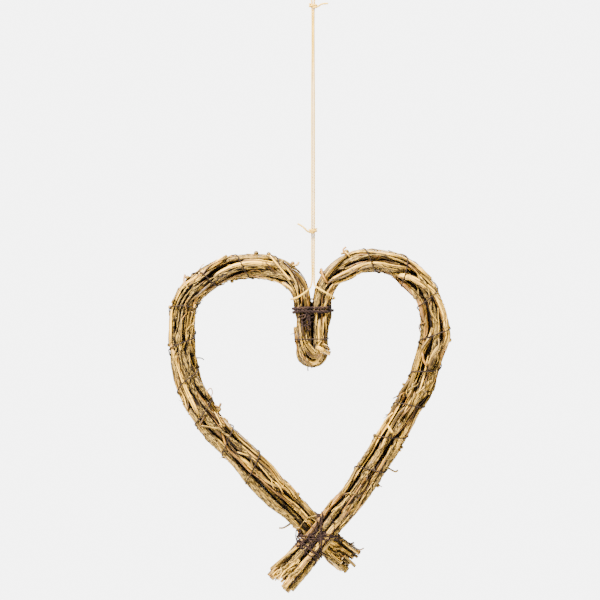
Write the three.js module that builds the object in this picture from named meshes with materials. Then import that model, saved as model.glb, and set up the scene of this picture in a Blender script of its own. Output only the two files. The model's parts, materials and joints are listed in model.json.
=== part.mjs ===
// Heart-shaped rattan wreath on a loop of jute twine, in millimetres, +Z up.
// The origin is the top inside of the twine's eye, where it hangs. The front faces -Y and +X is to the right.
// Each rattan stem runs the whole way round: it starts in the lower right tail, climbs the left side, goes
// over the left lobe, turns in the cleft, goes over the right lobe and down the right side, crosses in front
// of where it began, and ends in the lower left tail.
import * as THREE from 'three';

// Centreline of the bundle as x and z. Marks along it are named below by their place in this list.
const SPINE = [
  [36.5, -573], [6.5, -548.5], [-20, -520.5], [-40.3, -501], [-56.7, -481.7], [-76, -462], [-96, -442.6],
  [-110, -422.5], [-122, -402], [-128, -382], [-130.5, -362], [-131, -342], [-130, -322],
  [-122, -305], [-107, -292], [-91, -283], [-74, -279], [-56, -278], [-37, -281.5], [-21.5, -290],
  [-12.3, -303], [-9.2, -318], [-9.2, -342], [-9, -360], [-6.8, -366.3], [-1, -369], [4.8, -366.3],
  [7, -360], [7.2, -342], [7.2, -318], [10.5, -302], [22.5, -285], [41.5, -275.3], [62, -272.4],
  [81.5, -276.6], [98, -285.5], [110.5, -299.5], [117.3, -315], [120, -332], [120.5, -350], [117.5, -366],
  [112.5, -382], [104.5, -402], [92.5, -422], [82, -442], [71.2, -462.3], [57.5, -482.3], [45, -502.5],
  [27.5, -522], [6.5, -548.5], [-32, -592],
];
// Sections along the centreline: [place in SPINE, half width, half depth, middle's y, turn in degrees].
// The turn is how far the stems have wound around each other like a rope.
const SECTIONS = [
  [0, 15.5, 10.2, 11, 0],
  [1, 13.2, 10.7, 11, 0],
  [2, 13.8, 10.8, 8, 0],
  [4, 14.8, 12.5, 2, 20],
  [8, 13.6, 13.5, 0, 95],
  [11, 13, 13.5, 0, 165],
  [15, 13, 13.5, 0, 250],
  [18, 12.5, 14, 0, 300],
  [21, 8.2, 17.6, 0, 330],
  [29, 8.2, 17.6, 0, 330],
  [32, 12, 14, 0, 350],
  [37, 12.4, 13.5, 0, 440],
  [40, 14.5, 13, 0, 440],
  [43, 14, 12.8, 0, 415],
  [46, 14.4, 12.5, -2, 405],
  [48, 13.8, 10.8, -8, 400],
  [49, 13.2, 10.7, -11, 400],
  [50, 18, 10.4, -11, 400],
];
// Tube steps between two places in SPINE, closer together where the bundle bends sharply.
const STEPS = [
  [0, 1, 2], [1, 12, 13], [12, 20, 11], [20, 23, 3], [23, 27, 6], [27, 30, 3], [30, 38, 11],
  [38, 49, 13], [49, 50, 2],
];

// The ring of stems around the bundle, and the core inside it: [name, diameter, angle in degrees, reach].
const STEMS = [
  ['rattan_stem_1', 7.0, 0, 1], ['rattan_stem_2', 5.2, 51, 1], ['rattan_stem_3', 6.4, 103, 1],
  ['rattan_stem_4', 5.0, 154, 1], ['rattan_stem_5', 6.6, 206, 1], ['rattan_stem_6', 5.6, 257, 1],
  ['rattan_stem_7', 6.2, 309, 1], ['rattan_stem_8', 6.0, 30, 0.35], ['rattan_stem_9', 5.0, 150, 0.35],
  ['rattan_stem_10', 5.8, 270, 0.35],
];
const STEM_SIDES = 5;
const STEM_CORNER = 1.12; // How far a five-sided stem's corners stand out, so that it is as thick as a round.
const STEM_GAP = 0.6;
const WANDER = 1.6; // How far a stem strays from its lane.
const TAIL_STAGGER = 5; // How unevenly the tails are cut.

// How the stems settle beside each other, round by round.
const SETTLE_ROUNDS = 260;
const CALM_SHARE = 0.8; // After this share of the rounds they are only pushed apart.
const SMOOTHING = 0.2;
const PULL_TO_LANE = 0.04;

const WIRE_DIAMETER = 1.4;
const WIRE_SIDES = 4;
const WIRE_PITCH = 37;
const WIRE_STEPS_PER_TURN = 8;
const WIRE_GAP = 1.3;
const LEFT_WIRE = { from: 3.2, to: 18.2, startAngle: 2.4 };
const RIGHT_WIRE = { from: 32, to: 46.8, startAngle: 1.2 };

// The two legs that hang in the cleft, and what is wound around both of them.
const NECK_X = -1;
const NECK_HALF_WIDTH = 16.4;
const NECK_HALF_DEPTH = 17.6;
const NECK_SQUARENESS = 0.45; // 1 winds in an ellipse and 0 in a rectangle.
const NECK_GAP = 1.1;
const NECK_CLEAR = 1.25;
const NECK_START_ANGLE = 1.885;
const CLEFT_TIE = { z: -325, turns: 1.75, pitch: 3.6, diameter: 3, sides: 6, steps: 34 };
const CLEFT_WIRE = { z: -352, turns: 1.1, pitch: 2.4, diameter: WIRE_DIAMETER, sides: WIRE_SIDES, steps: 22 };

const LASHING_DIAMETER = 2.2;
const LASHING_SIDES = 6;

const TWINE_DIAMETER = 1.8;
const TWINE_SIDES = 8;
const TWINE_GAP = 0.3;
const TWINE_STEPS = 78;
const STRAND = TWINE_DIAMETER / 2 + TWINE_GAP / 2; // How far each of the two strands is from their middle.
const TOP_KNOT = { y: -0.7, z: -16, side: 1 };
const LOWER_KNOT = { y: -10.6, z: -241, side: -1 };
const KNOT_TURNS = 1.75;
const KNOT_PITCH = 2.2;
const KNOT_STEPS = 15;
const KNOT_SIDES = 6;

const COLOURS = {
  straw: 0xd9b279, bark: 0xa98d63, orange: 0xc48e4c, wire: 0x3a2a20, tie: 0x43343b, twine: 0xdcc9a0,
};

// A curve through given points that the tube samples at the points themselves.
class Stations extends THREE.Curve {
  constructor(points) {
    super();
    this.smooth = new THREE.CatmullRomCurve3(points, false, 'centripetal');
  }
  getPoint(t, target = new THREE.Vector3()) {
    return this.smooth.getPoint(t, target);
  }
  getUtoTmapping(u) {
    return u;
  }
}

function sectionShape(radius, sides) {
  const shape = new THREE.Shape();
  for (let i = 0; i < sides; i++) {
    const a = (2 * Math.PI * i) / sides;
    if (i === 0) shape.moveTo(radius * Math.cos(a), radius * Math.sin(a));
    else shape.lineTo(radius * Math.cos(a), radius * Math.sin(a));
  }
  shape.closePath();
  return shape;
}

function tube(name, points, radius, sides, colour, roughness = 0.8) {
  const geometry = new THREE.ExtrudeGeometry(sectionShape(radius, sides), {
    steps: points.length - 1,
    extrudePath: new Stations(points),
    curveSegments: 1,
  });
  const material = new THREE.MeshStandardMaterial({ color: colour, roughness, metalness: 0 });
  const mesh = new THREE.Mesh(geometry, material);
  mesh.name = name;
  return mesh;
}

const mix = (a, b, t) => a + (b - a) * t;
const ease = (t) => t * t * (3 - 2 * t);

// The section at a place in SPINE, which may lie between two rows.
function sectionAt(place) {
  let i = 0;
  while (i < SECTIONS.length - 2 && SECTIONS[i + 1][0] < place) i++;
  const [from, to] = [SECTIONS[i], SECTIONS[i + 1]];
  const t = ease(Math.min(1, Math.max(0, (place - from[0]) / (to[0] - from[0]))));
  const [, halfWidth, halfDepth, middle, turn] = from.map((value, n) => mix(value, to[n], t));
  return { halfWidth, halfDepth, middle, turn: (turn * Math.PI) / 180 };
}

const spinePoints = SPINE.map(([x, z]) => new THREE.Vector3(x, 0, z));
const spineCurve = new THREE.CatmullRomCurve3(spinePoints, false, 'centripetal');

// A frame across the bundle: out points away from the heart's inside, and y is the depth.
function frameAt(place) {
  const t = place / (SPINE.length - 1);
  const point = spineCurve.getPoint(t);
  const along = spineCurve.getTangent(t);
  return { place, point, out: new THREE.Vector3(-along.z, 0, along.x), ...sectionAt(place) };
}

function stationPlaces() {
  const places = [];
  for (const [from, to, count] of STEPS) {
    for (let i = 0; i < count; i++) places.push(mix(from, to, i / count));
  }
  places.push(SPINE.length - 1);
  return places;
}

// Where each stem would like to run across the bundle: around its ring or core, wandering a little.
function wishedPlace([, diameter, angle, reach], index, frame) {
  const a = (angle * Math.PI) / 180 + frame.turn;
  const room = diameter / 2;
  const sway = WANDER * Math.sin(0.9 * frame.place + 2.3 * index);
  const nod = WANDER * Math.cos(0.7 * frame.place + 1.7 * index);
  return [
    Math.cos(a) * reach * (frame.halfWidth - room) + sway,
    Math.sin(a) * reach * (frame.halfDepth - room) + nod,
  ];
}

// Settles the stems: each is drawn to its wished place, smoothed along its length, pushed off its neighbours
// and kept inside the section.
function settleStems(frames) {
  const corner = STEMS.map(([, diameter]) => (diameter / 2) * STEM_CORNER);
  const wished = STEMS.map((stem, i) => frames.map((frame) => wishedPlace(stem, i, frame)));
  const places = wished.map((row) => row.map((place) => [...place]));
  for (let round = 0; round < SETTLE_ROUNDS; round++) {
    const calm = round < SETTLE_ROUNDS * CALM_SHARE;
    for (let k = 0; k < frames.length; k++) {
      const { halfWidth, halfDepth } = frames[k];
      if (calm) {
        for (let i = 0; i < STEMS.length; i++) {
          const place = places[i][k];
          const before = places[i][Math.max(0, k - 1)];
          const after = places[i][Math.min(frames.length - 1, k + 1)];
          for (const axis of [0, 1]) {
            place[axis] += SMOOTHING * ((before[axis] + after[axis]) / 2 - place[axis]);
            place[axis] += PULL_TO_LANE * (wished[i][k][axis] - place[axis]);
          }
        }
      }
      for (let i = 0; i < STEMS.length; i++) {
        for (let j = i + 1; j < STEMS.length; j++) {
          const du = places[j][k][0] - places[i][k][0];
          const dv = places[j][k][1] - places[i][k][1];
          const apart = Math.hypot(du, dv) || 1e-6;
          const push = (corner[i] + corner[j] + STEM_GAP - apart) / 2;
          if (push > 0) {
            places[i][k][0] -= (du / apart) * push;
            places[i][k][1] -= (dv / apart) * push;
            places[j][k][0] += (du / apart) * push;
            places[j][k][1] += (dv / apart) * push;
          }
        }
      }
      for (let i = 0; i < STEMS.length; i++) {
        const wide = halfWidth - corner[i] - STEM_GAP / 2;
        const deep = halfDepth - corner[i] - STEM_GAP / 2;
        places[i][k][0] = Math.min(wide, Math.max(-wide, places[i][k][0]));
        places[i][k][1] = Math.min(deep, Math.max(-deep, places[i][k][1]));
      }
    }
  }
  return places;
}

function acrossToSpace(frame, u, v) {
  const point = frame.point.clone().addScaledVector(frame.out, u);
  point.y = frame.middle + v;
  return point;
}

const frames = stationPlaces().map(frameAt);
const settled = settleStems(frames);

// The stems' cut ends are staggered.
function stagger(index, end) {
  return TAIL_STAGGER * Math.sin(2.4 * index + 1.3 * end);
}

function stemPoints(index) {
  const points = frames.map((frame, k) => acrossToSpace(frame, ...settled[index][k]));
  const first = points[0].clone().sub(points[1]).normalize();
  const last = points.at(-1).clone().sub(points.at(-2)).normalize();
  points[0].addScaledVector(first, stagger(index, 0));
  points.at(-1).addScaledVector(last, stagger(index, 1));
  return points;
}

function rattanStems() {
  const tones = [COLOURS.straw, COLOURS.bark, COLOURS.straw, COLOURS.orange, COLOURS.bark];
  return STEMS.map(([name, diameter], i) => tube(
    name, stemPoints(i), (diameter / 2) * STEM_CORNER, STEM_SIDES, tones[i % tones.length],
  ));
}

// Where the stems lie across the bundle between two stations.
function settledAt(place) {
  let k = 0;
  while (k < frames.length - 2 && frames[k + 1].place < place) k++;
  const t = (place - frames[k].place) / (frames[k + 1].place - frames[k].place);
  return settled.map((row) => [mix(row[k][0], row[k + 1][0], t), mix(row[k][1], row[k + 1][1], t)]);
}

// How far a cord that is wound around the bundle stands from its middle, in a direction across it.
function reachAt(place, angle, radius) {
  const [c, s] = [Math.cos(angle), Math.sin(angle)];
  const reach = settledAt(place).map(([u, v], i) => u * c + v * s + (STEMS[i][1] / 2) * STEM_CORNER);
  return Math.max(...reach) + radius + WIRE_GAP;
}

// A wire wound around the bundle from one place to another, a full turn for each pitch.
function bindingWire(name, { from, to, startAngle }) {
  const radius = WIRE_DIAMETER / 2;
  const samples = 400;
  const lengths = [0];
  for (let i = 1; i <= samples; i++) {
    const a = frameAt(mix(from, to, (i - 1) / samples)).point;
    const b = frameAt(mix(from, to, i / samples)).point;
    lengths.push(lengths[i - 1] + a.distanceTo(b));
  }
  const whole = lengths[samples];
  const steps = Math.floor((whole / WIRE_PITCH) * WIRE_STEPS_PER_TURN);
  const chord = 1 / Math.cos(Math.PI / WIRE_STEPS_PER_TURN);
  const points = [];
  let i = 0;
  for (let step = 0; step <= steps; step++) {
    const along = (whole * step) / steps;
    while (i < samples - 1 && lengths[i + 1] < along) i++;
    const t = (i + (along - lengths[i]) / (lengths[i + 1] - lengths[i])) / samples;
    const place = mix(from, to, t);
    const angle = startAngle - (2 * Math.PI * step) / WIRE_STEPS_PER_TURN;
    const reach = reachAt(place, angle, radius) * chord;
    points.push(acrossToSpace(frameAt(place), reach * Math.cos(angle), reach * Math.sin(angle)));
  }
  return tube(name, points, radius, WIRE_SIDES, COLOURS.wire, 0.6);
}

const squared = (value) => Math.sign(value) * Math.abs(value) ** NECK_SQUARENESS;

// A cord wound around both legs in the cleft, as an open winding that rises a little with each turn.
function neckWinding(name, { z, turns, pitch, diameter, sides, steps }, colour) {
  const clear = (diameter / 2 + NECK_GAP) * NECK_CLEAR;
  const points = [];
  for (let i = 0; i <= steps; i++) {
    const a = NECK_START_ANGLE + (2 * Math.PI * turns * i) / steps;
    points.push(new THREE.Vector3(
      NECK_X + squared(Math.cos(a)) * (NECK_HALF_WIDTH + clear),
      squared(Math.sin(a)) * (NECK_HALF_DEPTH + clear),
      z + (pitch * i * turns) / steps,
    ));
  }
  return tube(name, points, diameter / 2, sides, colour);
}

// The lashing at the crossing: around the lower left tail, then around the whole crossing, and then over its
// front from top to bottom and up the back.
const LASHING = [
  [-6.8, 2.4, -563.5], [-16.6, 1.8, -554.8], [-18.9, -3, -552.8], [-18.9, -18.5, -552.8],
  [-16.3, -23, -555], [2.8, -23, -572], [5, -18.5, -574], [5, -3, -574], [2.6, 1.9, -571.8],
  [-9.5, 3.4, -561], [-14.4, 0, -551], [-14.5, -18.5, -549.2], [-11.2, -23.4, -548.8], [23.6, -23.4, -548],
  [28.3, -18.5, -547.7], [28.8, 0, -547.6], [28.3, 18.5, -547.6], [23.8, 23.4, -547.4], [8, 23.4, -531],
  [5.7, 18.5, -526.6], [5.5, 0, -526.2], [5.7, -18.5, -526.6], [6, -23.4, -530], [6.6, -26.4, -548.4],
  [7.3, -23.4, -567.4], [7.6, -18.5, -570.6], [7.8, 0, -570.8], [7.6, 18.5, -570.6], [7, 23.4, -567],
  [6.5, 23.4, -556],
];

function crossingLashing() {
  const points = LASHING.map(([x, y, z]) => new THREE.Vector3(x, y, z));
  return tube('crossing_lashing', points, LASHING_DIAMETER / 2, LASHING_SIDES, COLOURS.tie);
}

// The twine's route, from under its lower knot down the left strand, around both legs, up the right strand,
// over the eye and back down to the knot.
const TWINE_DOWN = [
  [-STRAND, -10.6, -243.2], [-STRAND, -11.6, -270], [-STRAND, -12.9, -292], [-2.6, -15.6, -299],
  [-8, -20.4, -304.5], [-15, -20.6, -309], [-20.4, -17, -311], [-21.8, -8, -311], [-21.8, 6, -311],
  [-20.4, 16, -311], [-13, 20.6, -311], [-1, 21, -311], [11, 20.6, -311], [18.6, 16, -311], [21, 6, -310.5],
  [21.4, -8, -310], [20, -17, -309], [14, -20.6, -305.5], [6.5, -20.4, -301], [1.6, -15.6, -297],
  [STRAND, -12.6, -288], [STRAND, -10.6, -243],
];
const TWINE_UP = [
  [STRAND, -5, -115], [STRAND, -0.7, -17], [1.6, -0.4, -11], [4.2, 0, -6.5], [4.3, 0, -2.6], [2.6, 0, 0.1],
  [0, 0, 0.9], [-2.6, 0, 0.1], [-4.3, 0, -2.6], [-4.2, 0, -6.5], [-1.6, -0.4, -11], [-STRAND, -0.7, -17],
  [-STRAND, -5, -115], [-STRAND, -10.6, -242.8],
];
const BEND_SPAN = 14; // Route points nearer than this to each other lie on a bend.

// The bends get most of the steps and the straight strands few.
function twineLoop() {
  const route = [...TWINE_DOWN, ...TWINE_UP].map(([x, y, z]) => new THREE.Vector3(x, y, z));
  const curve = new THREE.CatmullRomCurve3(route, false, 'centripetal');
  const spans = route.length - 1;
  const bends = route.slice(1).map((point, i) => point.distanceTo(route[i]) < BEND_SPAN);
  let spare = TWINE_STEPS - spans;
  const share = Math.max(1, Math.floor(spare / bends.filter(Boolean).length));
  const points = [];
  for (let i = 0; i < spans; i++) {
    const parts = bends[i] && spare >= share ? 1 + share : 1;
    spare -= parts - 1;
    for (let j = 0; j < parts; j++) points.push(curve.getPoint((i + j / parts) / spans));
  }
  points.push(route.at(-1));
  return tube('hanging_twine', points, TWINE_DIAMETER / 2, TWINE_SIDES, COLOURS.twine, 0.95);
}

// The tails of the knots, as steps from each knot's middle to the side, in y and in z.
const TOP_TAIL = [[5.2, -4.4, -2.6], [8, -5, -0.8], [11.5, -4.6, 0], [15, -4, 0.2]];
const LOWER_TAIL = [[5.4, -4.4, -2.6], [8.5, -4.8, 0.5], [12, -4.4, 3.2], [15.5, -4, 5]];

// A knot is a wrap of twine around both strands whose end stands out as a tail.
function twineKnot(name, { y, z, side }, tail) {
  const wide = STRAND + TWINE_DIAMETER + 0.75;
  const deep = TWINE_DIAMETER + 0.8;
  const points = [];
  for (let i = 0; i <= KNOT_STEPS; i++) {
    const turned = (KNOT_TURNS * i) / KNOT_STEPS;
    points.push(new THREE.Vector3(
      -side * wide * Math.cos(2 * Math.PI * turned),
      y + deep * Math.sin(2 * Math.PI * turned),
      z - KNOT_PITCH * turned,
    ));
  }
  for (const [dx, dy, dz] of tail) points.push(new THREE.Vector3(side * dx, y + dy, z + dz));
  return tube(name, points, TWINE_DIAMETER / 2, KNOT_SIDES, COLOURS.twine, 0.95);
}

const wreath = new THREE.Group();
for (const stem of rattanStems()) wreath.add(stem);
wreath.add(bindingWire('left_binding_wire', LEFT_WIRE));
wreath.add(bindingWire('right_binding_wire', RIGHT_WIRE));
wreath.add(neckWinding('cleft_tie', CLEFT_TIE, COLOURS.tie));
wreath.add(neckWinding('cleft_wire', CLEFT_WIRE, COLOURS.wire));
wreath.add(crossingLashing());
wreath.add(twineLoop());
wreath.add(twineKnot('twine_top_knot', TOP_KNOT, TOP_TAIL));
wreath.add(twineKnot('twine_lower_knot', LOWER_KNOT, LOWER_TAIL));

export default wreath;
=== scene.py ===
"""A hanging rattan heart wreath: bundled stems, binding wires, dark ties and a loop of jute twine."""

import json
import math

import bpy
import numpy as np
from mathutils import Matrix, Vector
from mathutils.bvhtree import BVHTree

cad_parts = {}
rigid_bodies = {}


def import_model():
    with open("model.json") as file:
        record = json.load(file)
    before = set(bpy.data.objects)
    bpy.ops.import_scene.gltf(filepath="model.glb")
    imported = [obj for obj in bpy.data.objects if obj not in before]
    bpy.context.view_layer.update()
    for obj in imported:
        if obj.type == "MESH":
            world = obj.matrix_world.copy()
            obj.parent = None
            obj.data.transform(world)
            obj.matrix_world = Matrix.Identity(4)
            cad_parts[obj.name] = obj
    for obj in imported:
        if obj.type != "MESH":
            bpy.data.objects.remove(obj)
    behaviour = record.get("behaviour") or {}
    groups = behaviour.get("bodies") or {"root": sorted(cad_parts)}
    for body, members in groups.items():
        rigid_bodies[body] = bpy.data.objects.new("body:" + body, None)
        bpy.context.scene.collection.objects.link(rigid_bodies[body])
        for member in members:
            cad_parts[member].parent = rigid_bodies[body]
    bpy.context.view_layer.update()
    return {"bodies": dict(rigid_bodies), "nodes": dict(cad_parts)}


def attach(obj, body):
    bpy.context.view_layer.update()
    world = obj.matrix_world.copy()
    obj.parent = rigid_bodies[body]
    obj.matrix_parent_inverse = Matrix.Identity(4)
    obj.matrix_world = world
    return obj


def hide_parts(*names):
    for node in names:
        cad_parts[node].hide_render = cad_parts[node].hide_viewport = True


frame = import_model()
BODY = next(iter(frame["bodies"]))

bl_info = {
    "name": "Rattan heart wreath",
    "version": (1, 0, 0),
    "blender": (4, 5, 0),
    "location": "View3D > Sidebar > Wreath",
    "description": "Builds a bundled rattan heart that hangs from jute twine",
    "category": "Add Mesh",
}

# Lengths are worked out in millimetres and become metres when a mesh is made. In the photograph a pixel is a
# millimetre, the twine hangs at pixel 313, and the picture's top is 12 mm under the twine's eye.
MM = 0.001
PICTURE_X = 313
PICTURE_Z = 12
STEM_DIAMETERS = [7.0, 5.2, 6.4, 5.0, 6.6, 5.6, 6.2, 6.0, 5.0, 5.8]
STEM_KINDS = ["straw", "bark", "straw", "orange", "bark", "straw", "bark", "straw", "orange", "bark"]
SIDE_STEMS = 46
FRONT = np.array([0.0, -1.0, 0.0])

# How many sides the CAD gave its rods.
STEM_SIDES = 5
WIRE_SIDES = 4
TIE_SIDES = 6

# How far the tie pulls the left and the right leg of the cleft in, and the shares of it that are added
# between two depths below the eye. What is further from the middle or further down isn't part of the legs.
CLEFT_SQUEEZE = (1.7, 2.6)
SQUEEZE_DEPTHS = [(1.0, 303, 330), (0.5, 340, 372)]
LEGS_HALF_WIDTH = 26
LEGS_FOOT = -385

# The twine runs from the lower knot down round both legs, back up to the eye, and down to the knot again.
STRAND = 1.05  # from the middle to each of the two strands
TWINE_DOWN = [
    (-STRAND, -10.6, -243.2), (-STRAND, -11.6, -270), (-STRAND, -12.9, -292), (-2.6, -15.6, -299),
    (-8, -20.4, -304.5), (-15, -20.6, -309), (-20.4, -17, -311), (-21.8, -8, -311), (-21.8, 6, -311),
    (-20.4, 16, -311), (-13, 20.6, -311), (-1, 21, -311), (11, 20.6, -311), (18.6, 16, -311), (21, 6, -310.5),
    (21.4, -8, -310), (20, -17, -309), (14, -20.6, -305.5), (6.5, -20.4, -301), (1.6, -15.6, -297),
    (STRAND, -12.6, -288), (STRAND, -10.6, -243),
]
TWINE_UP = [
    (STRAND, -5, -115), (STRAND, -0.7, -17), (1.6, -0.4, -11), (4.2, 0, -6.5), (4.3, 0, -2.6), (2.6, 0, 0.1),
    (0, 0, 0.9), (-2.6, 0, 0.1), (-4.3, 0, -2.6), (-4.2, 0, -6.5), (-1.6, -0.4, -11), (-STRAND, -0.7, -17),
    (-STRAND, -5, -115), (-STRAND, -10.6, -242.8),
]
TWINE_PITCH = 8.5  # the length in which its plies turn once
# Each knot: y and z of its top, the side that its tail leaves on, and the tail's points.
KNOTS = {
    "twine_top_knot": (-0.7, -16, 1, [(5.2, -4.4, -2.6), (8, -5, -0.8), (11.5, -4.6, 0), (15, -4, 0.2)]),
    "twine_lower_knot": (-10.6, -241, -1, [(5.4, -4.4, -2.6), (8.5, -4.8, 0.5), (12, -4.4, 3.2),
                                           (15.5, -4, 5)]),
}
KNOT_TURNS = 1.75
KNOT_PITCH = 2.2
KNOT_STEPS = 15

# Each tie: its plies, how far to either side of the CAD's cord each strand lies, how far a strand strays, how
# far it may go in from the CAD's, and its loose curls' number, middle pixel and spread.
TIES = {
    "cleft_tie": (2, (0.0,), 0.4, 3.2, (12, 306, 315, 3.4)),
    "crossing_lashing": (3, (-3.2, 0.3, 3.2), 4.6, 7.0, (18, 314, 538, 7.0)),
}
TIE_PITCH = 8.0
TIE_RAGGED = 0.25
WIRE_SLACK = 4.5  # how far a binding wire may go in from the CAD's

# The stems that show in front: thickness, kind, and the pixels of the photograph that each runs through.
# The lowest are laid first, and each is drawn at a share of its thickness.
FRONT_SHARE = 0.9
COMPANION_REACH = 11.5  # how far from the bundle's middle line the thin stems beside them may lie
FRONT_STEMS = [
    (5.4, "bark", [(272, 259.4), (253.8, 258.4), (233.4, 259.4), (223, 262.4), (211, 269), (195.7, 290),
                   (185.5, 303), (182.4, 317.6), (180.9, 328.8), (178.3, 338), (182.4, 352), (188.5, 367.6),
                   (196.7, 380.8), (205.9, 393), (213, 404.5)]),
    (4.8, "straw", [(227.3, 256.3), (213, 265.5), (197.7, 277.8), (185.5, 285), (176.3, 301), (172.2, 311.4),
                    (171.2, 333.9), (171.2, 342), (175.3, 355.3), (180.4, 370.6), (186.5, 388),
                    (195.7, 408.6), (199.8, 418.8)]),
    (4.0, "straw", [(211, 269.6), (192.6, 286), (180.4, 303), (175.3, 321.6)]),
    (3.2, "orange", [(274, 268.6), (248.7, 267.6), (233.4, 268.6)]),
    (6.0, "straw", [(274, 265.5), (253.8, 263), (237.5, 265.5), (223, 271.6), (211, 279.8), (199.8, 289),
                    (193.6, 297), (190.6, 309), (188, 326.7), (187.5, 337), (191.6, 352)]),
    (5.6, "bark", [(184.4, 402.4), (202.8, 428), (219, 447), (235.5, 465.7), (251.8, 486), (273.2, 506.5),
                   (293.6, 519.8)]),
    (2.4, "orange", [(193.6, 395.3), (203.8, 408.6), (213, 417.8), (221.2, 429), (227.3, 447.3),
                     (239.5, 459.6), (248.7, 469.8), (259, 477), (279.3, 495.3), (299.8, 508.6)]),
    (2.2, "orange", [(197, 395), (207, 407), (216.5, 416.5), (224, 430), (231, 446), (243, 458.5)]),
    (5.6, "straw", [(223, 418.8), (235.5, 434), (248.7, 446.3), (260, 456.5), (272.2, 467.8), (282.4, 481),
                    (290.6, 488), (299.8, 501.4)]),
    (3.0, "straw", [(250.8, 458.6), (252.8, 466.7), (260, 474.9), (270.2, 483), (281.4, 487), (290.6, 490)]),
    (2.4, "straw", [(222.2, 431), (233, 441), (243.6, 450)]),
    (4.4, "straw", [(322.3, 283.9), (330.4, 270.6), (341.7, 259.4), (351.9, 253.3), (364, 251.7),
                    (379.4, 253.8), (395.8, 256.3), (410, 262.4), (420.2, 269.6), (430.4, 278.8)]),
    (3.6, "bark", [(353.9, 260.4), (369.2, 257.3), (389.6, 258.4)]),
    (4.4, "straw", [(326.4, 282.9), (343.7, 273.7), (363, 264.5), (379.4, 263.5), (392.7, 266.5),
                    (406, 267.6), (413, 265.5)]),
    (5.0, "orange", [(393.7, 275.7), (406, 286), (416, 297), (421.3, 309.4), (423.3, 321.6)]),
    (4.0, "straw", [(328.4, 286), (348.8, 277.8), (365, 267.6)]),
    (6.0, "straw", [(393.7, 273.7), (410, 277.8), (420, 283), (431.5, 291), (438.6, 301), (443.7, 313.5),
                    (445.8, 326.7), (447.8, 335), (443.7, 350)]),
    (2.6, "straw", [(428.4, 297), (430.4, 311.4), (437.6, 323.7), (439.6, 331.8)]),
    (4.8, "bark", [(444.7, 340), (435.6, 352), (428.4, 367.6), (424, 376)]),
    (4.2, "bark", [(439.6, 359.4), (430.4, 376.7), (420.2, 391), (415, 399)]),
    (4.4, "straw", [(432.5, 327.8), (429.4, 338), (422.3, 348), (419, 357.3), (416, 369.6), (411, 382.9),
                    (402.9, 399)]),
    (3.6, "bark", [(434, 384), (428.4, 397.5), (419.3, 409.5), (414.4, 419.3), (408, 432), (403.2, 440.4)]),
    (5.8, "straw", [(430.5, 380), (424.2, 388.4), (416.5, 398.2), (407.4, 415), (401, 423.5), (395.4, 430.5),
                    (390.5, 436)]),
    (4.0, "straw", [(413, 380), (410.9, 394), (407.4, 405), (399, 413.7), (392, 425), (384.9, 439.6),
                    (379.3, 453.7), (374.4, 459.3)]),
    (4.4, "straw", [(410, 380), (401, 392), (397.5, 401), (393.3, 409.5), (384.9, 423.5), (376.5, 436),
                    (369.5, 448.8), (361, 461.4), (354.7, 471.2), (347.4, 484.4), (340.6, 495)]),
    (3.4, "bark", [(396, 438), (392, 450), (384, 466), (373.5, 485.9), (365.8, 496.6), (356.6, 509.6),
                   (347.4, 520.3), (339, 529.5)]),
    (3.4, "straw", [(392, 447), (385, 458.6), (379.3, 468.4), (370, 482)]),
    (3.6, "straw", [(389, 445), (382, 457), (378, 464), (366, 482), (352.8, 508.9), (345.9, 518),
                    (337.5, 527.2)]),
    (4.0, "bark", [(369.5, 476.8), (363.9, 485.3), (349, 505), (341.3, 516.5), (332, 525)]),
    (3.4, "bark", [(342.8, 502), (334.4, 510.4), (328.3, 519.6)]),
    (2.4, "orange", [(336, 500.4), (326.8, 508.9), (323, 516.5)]),
    (5.2, "straw", [(301, 318), (304, 340), (306.5, 345.7), (311.8, 351.4), (315.3, 354.8), (318.3, 351.4),
                    (319.5, 345.7), (319.5, 330), (320, 315)]),
    (3.4, "orange", [(326, 312), (325, 326), (323.5, 340), (322, 346)]),
    (2.2, "straw", [(302, 338), (305, 347.6), (308.8, 355), (314, 358.3), (319.5, 355.6), (322.5, 349.5),
                    (323, 341.8)]),
    (3.8, "bark", [(297, 326.5), (299.6, 344), (302, 353), (306.5, 361)]),
    (3.6, "straw", [(299.9, 544.3), (285.2, 555.5), (271, 568)]),
    (3.4, "straw", [(306.9, 564.6), (303.4, 575), (296.4, 581.5)]),
    (3.6, "straw", [(342.7, 542), (350, 547.6), (358, 553.4)]),
    (3.2, "bark", [(339, 550), (347, 558), (355.3, 566.8)]),
    (2.4, "bark", [(280, 262), (290, 272), (297, 286), (298.5, 300), (299, 320), (301, 338), (304, 350)]),
    (2.0, "orange", [(284, 262), (295, 275), (301, 290), (302, 312), (303, 330), (306, 344)]),
    (2.4, "bark", [(276, 268), (288, 280), (295, 292), (297, 306)]),
    (2.2, "bark", [(303, 288), (306, 310), (307.5, 328), (309, 343)]),
    (1.8, "orange", [(306, 290), (309, 312), (310, 330), (311, 346)]),
    (2.0, "bark", [(317, 300), (316.5, 314), (316, 332), (315.5, 348)]),
    (2.2, "orange", [(334, 278), (325, 288), (322.5, 298), (322, 312), (322.5, 328), (321.5, 344)]),
    (1.8, "bark", [(339, 279), (330, 288), (326, 300), (325.5, 314), (326, 326), (325, 340)]),
    (1.7, "orange", [(328, 298), (328.5, 314), (328, 330), (325, 345)]),
]

# Short stems that close the cleft between its legs: pixel across, how far behind the middle plane, thickness.
CLEFT_STEMS = [(309.5, 4.0, 5.0), (313.5, 6.0, 5.4), (317, 3.0, 4.8), (312, -3.0, 3.6), (315, 11.0, 5.0)]

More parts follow.
